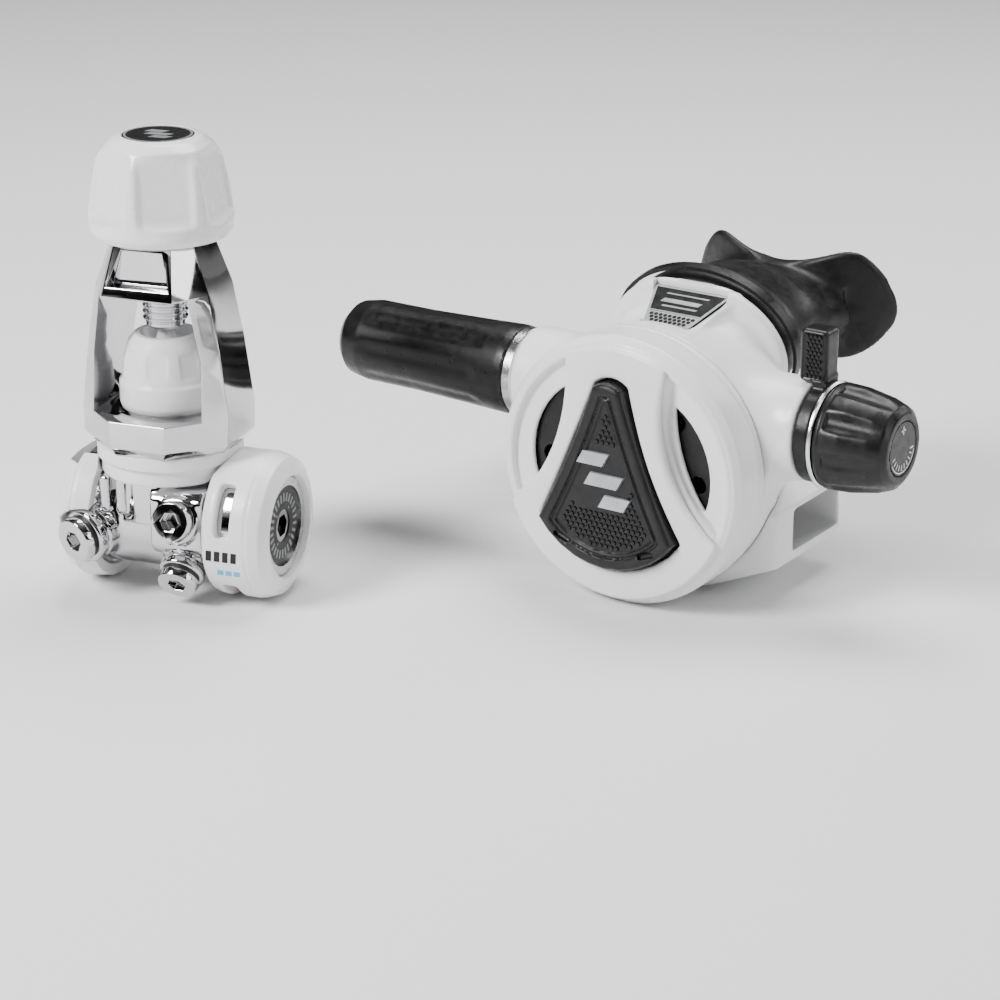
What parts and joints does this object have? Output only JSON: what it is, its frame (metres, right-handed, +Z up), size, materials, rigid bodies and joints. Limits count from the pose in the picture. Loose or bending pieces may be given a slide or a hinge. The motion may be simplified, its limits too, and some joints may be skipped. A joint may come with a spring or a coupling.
{
  "type": "scuba regulator set",
  "caption": "Scuba regulator set: yoke first stage with screw clamp and dust cap, and demand second stage with purge button, adjusting knob, venturi lever and mouthpiece.",
  "frame": {"origin": "bottom centre of the bounding box of both stages, on the surface that they stand on", "axes": "+X along the second stage air barrel from the hose towards the adjusting knob, +Y from the front cover towards the mouthpiece, +Z up along the yoke"},
  "size_m": [0.2178, 0.1872, 0.131],
  "materials": {
    "chrome": "polished chrome plate on brass",
    "satin_chrome": "satin chrome ring",
    "brass": "machined",
    "steel": "spring steel",
    "white_shell": "white moulded nylon",
    "white_knob": "white moulded, smooth",
    "black_plastic": "black moulded",
    "purge_face": "black with a honeycomb relief",
    "emblem": "silver-grey inlay",
    "badge": "black to silver honeycomb print",
    "black_rubber": "satin rubber",
    "silicone": "black silicone",
    "membrane": "translucent silicone",
    "seal": "nitrile",
    "inner_plastic": "moulded",
    "silver_trim": "anodised silver"
  },
  "bodies": {
    "first_stage": {"fs_body": "chrome", "left_end_cover": "white_shell", "right_end_cover": "white_shell", "saddle_collar": "white_shell", "balance_plug": "brass", "balance_oring": "seal", "crown_orifice": "brass", "seat_poppet_spring": "steel", "fs_diaphragm": "seal", "clamp_washer": "brass", "spring_pad": "inner_plastic", "main_spring": "steel", "spring_housing": "satin_chrome", "spring_adjuster": "chrome", "end_disc": "black_plastic", "lp_port_plugs": "chrome", "gauge_port_plugs": "chrome", "port_orings": "seal", "yoke": "chrome", "yoke_retainer": "chrome", "inlet_filter": "brass", "filter_clip": "steel"},
    "main_valve": {"seat_poppet": "brass", "pushrod": "brass"},
    "screw_tip": {"screw_pad": "chrome"},
    "yoke_screw": {"yoke_screw": "chrome", "knob": "white_knob", "knob_badge": "badge", "knob_pin": "steel"},
    "dust_cap": {"dust_cap": "white_shell"},
    "second_stage": {"case": "white_shell", "front_cover": "white_shell", "cover_inlay": "white_shell", "diaphragm": "membrane", "diaphragm_ring": "inner_plastic", "air_barrel": "chrome", "orifice": "brass", "clamp_ring": "silver_trim", "exhaust_tee": "white_shell", "mouthpiece": "silicone", "mouthpiece_strap": "black_plastic", "badge_plate": "badge", "poppet_spring": "steel"},
    "purge_button": {"purge_button": "purge_face", "purge_emblem": "emblem", "purge_spring": "steel"},
    "diaphragm_plate": {"diaphragm_plate": "inner_plastic"},
    "demand_lever": {"demand_lever": "steel"},
    "poppet": {"poppet": "inner_plastic"},
    "adjuster_screw": {"adjuster_screw": "chrome"},
    "adjusting_knob": {"adjusting_knob": "black_rubber", "knob_dial": "black_plastic"},
    "venturi_lever": {"venturi_lever": "black_plastic", "venturi_vane": "black_plastic"},
    "exhaust_valve": {"exhaust_valve": "membrane"},
    "hose_end": {"hose_nut": "silver_trim", "hose_inlet": "brass", "hose_sleeve": "black_rubber"}
  },
  "joints": [
    {"name": "second_stage_lift", "type": "slide", "parent": "first_stage", "child": "second_stage", "axis": [0, 0, 1], "range_m": [0, 0.06]},
    {"name": "yoke_screw_travel", "type": "slide", "parent": "first_stage", "child": "screw_tip", "axis": [0, 0, 1], "range_m": [0, 0.008]},
    {"name": "yoke_screw_turn", "type": "hinge", "parent": "screw_tip", "child": "yoke_screw", "pos_m": [-0.07764, -0.06524, 0.081], "axis": [0, 0, 1], "range_deg": [-5, 1660]},
    {"name": "dust_cap_lift", "type": "slide", "parent": "first_stage", "child": "dust_cap", "axis": [0, 0, 1], "range_m": [0, 0.0041]},
    {"name": "main_valve_travel", "type": "slide", "parent": "first_stage", "child": "main_valve", "axis": [0.9659, 0.2588, 0], "range_m": [0, 0.0005], "stiffness_N_per_m": 900, "springref_m": -0.001},
    {"name": "purge_press", "type": "slide", "parent": "second_stage", "child": "purge_button", "axis": [0, 1, 0], "range_m": [0, 0.0025], "stiffness_N_per_m": 300, "springref_m": -0.002},
    {"name": "diaphragm_travel", "type": "slide", "parent": "second_stage", "child": "diaphragm_plate", "axis": [0, 1, 0], "range_m": [-0.0001, 0.0027]},
    {"name": "lever_swing", "type": "hinge", "parent": "second_stage", "child": "demand_lever", "pos_m": [0.05186, 0.01126, 0.052], "axis": [0, 0, -1], "range_deg": [-1, 10]},
    {"name": "poppet_travel", "type": "slide", "parent": "second_stage", "child": "poppet", "axis": [1, 0, 0], "range_m": [-0.0001, 0.0012]},
    {"name": "adjuster_travel", "type": "slide", "parent": "second_stage", "child": "adjuster_screw", "axis": [1, 0, 0], "range_m": [0, 0.002]},
    {"name": "adjusting_knob_turn", "type": "hinge", "parent": "second_stage", "child": "adjusting_knob", "pos_m": [0.09586, 0.02056, 0.052], "axis": [1, 0, 0], "range_deg": [-5, 580]},
    {"name": "venturi_switch", "type": "hinge", "parent": "second_stage", "child": "venturi_lever", "pos_m": [0.08386, 0.02056, 0.052], "axis": [1, 0, 0], "range_deg": [0, 35]},
    {"name": "exhaust_valve_lift", "type": "slide", "parent": "second_stage", "child": "exhaust_valve", "axis": [0, 0.9, -0.436], "range_m": [0, 0.0012], "stiffness_N_per_m": 40, "springref_m": -0.001},
    {"name": "hose_swivel", "type": "hinge", "parent": "second_stage", "child": "hose_end", "pos_m": [-0.00914, 0.02056, 0.052], "axis": [1, 0, 0], "continuous": true}
  ],
  "couplings": [
    {"joint": "yoke_screw_turn", "follows": "yoke_screw_travel", "rad_per_m": 3590.4},
    {"joint": "dust_cap_lift", "follows": "yoke_screw_travel", "ratio": 0.5},
    {"joint": "diaphragm_travel", "follows": "purge_press", "ratio": 1},
    {"joint": "lever_swing", "follows": "purge_press", "rad_per_m": 62.5},
    {"joint": "poppet_travel", "follows": "purge_press", "ratio": 0.4},
    {"joint": "adjusting_knob_turn", "follows": "adjuster_travel", "rad_per_m": 5026.5}
  ]
}
